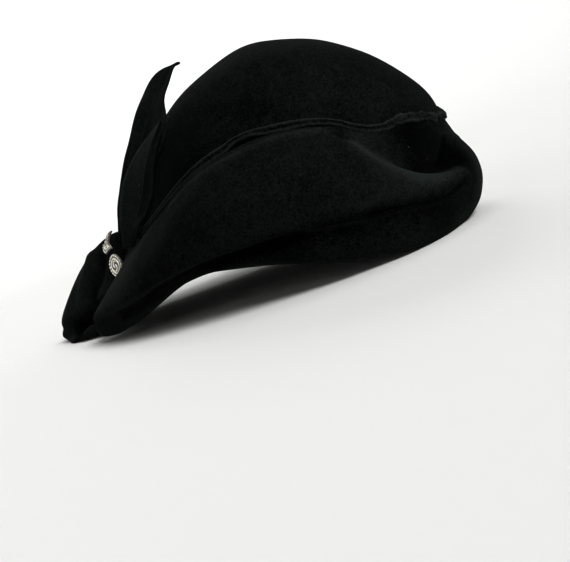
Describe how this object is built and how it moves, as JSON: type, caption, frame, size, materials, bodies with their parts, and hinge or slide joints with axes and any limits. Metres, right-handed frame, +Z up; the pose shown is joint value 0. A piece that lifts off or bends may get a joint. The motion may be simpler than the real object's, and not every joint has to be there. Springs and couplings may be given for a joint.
{
  "type": "draped velvet felt hat",
  "caption": "Draped black velvet-felt hat with a dome crown, a turned-up folded brim flaring into lobes at the back, standing felt leaves and small pewter clips.",
  "frame": {"origin": "on the surface that the hat rests on, below the middle of its whole length and width", "axes": "+Z up, -Y to the front of the hat, -X to the wearer's right, where the brim is draped; the lobes reach back along +Y"},
  "size_m": [0.207, 0.3436, 0.1525],
  "materials": {
    "felt": "black velour felt, brushed to a velvet nap",
    "felt_edge": "black felt, cut and rolled edge with a short rough nap",
    "pewter": "cast pewter-coloured metal set with small faceted stones"
  },
  "bodies": {
    "root": {"crown": "felt", "brim": "felt", "edge_strip": "felt_edge", "leaf_tall": "felt", "leaf_short": "felt", "clip_right": "pewter", "clip_left": "pewter"}
  },
  "joints": []
}
